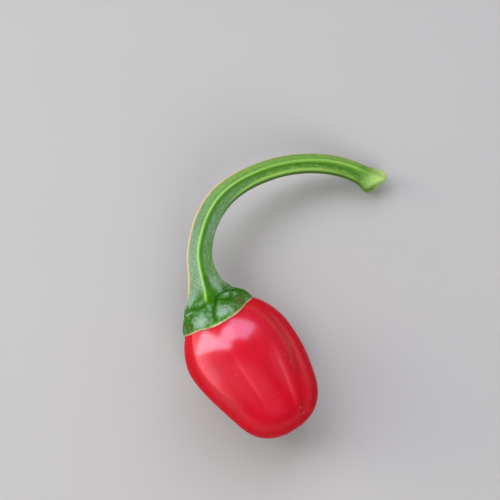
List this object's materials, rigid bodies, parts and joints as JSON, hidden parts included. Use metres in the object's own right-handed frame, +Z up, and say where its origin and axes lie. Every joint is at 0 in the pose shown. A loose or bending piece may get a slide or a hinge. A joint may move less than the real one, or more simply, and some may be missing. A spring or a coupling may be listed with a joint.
{
  "type": "chilli pepper",
  "caption": "A picked red chilli pepper lying on its side: a blocky glossy pod with its green calyx and long curved ribbed stem.",
  "frame": {"origin": "middle of the small flat spot under the pod that the pepper rests on", "axes": "+Z up, with the pepper lying as it does on a table; +Y runs from the pod back towards the arch of the stem; +X towards the side that the stem's free end curves to"},
  "size_m": [0.0629, 0.0886, 0.0329],
  "materials": {
    "pod_skin": "thin waxy fruit skin, glossy deep red",
    "stem_skin": "satin plant skin, fresh green with paler ribs"
  },
  "bodies": {
    "root": {"pod": "pod_skin", "stem_and_calyx": "stem_skin"}
  },
  "joints": []
}
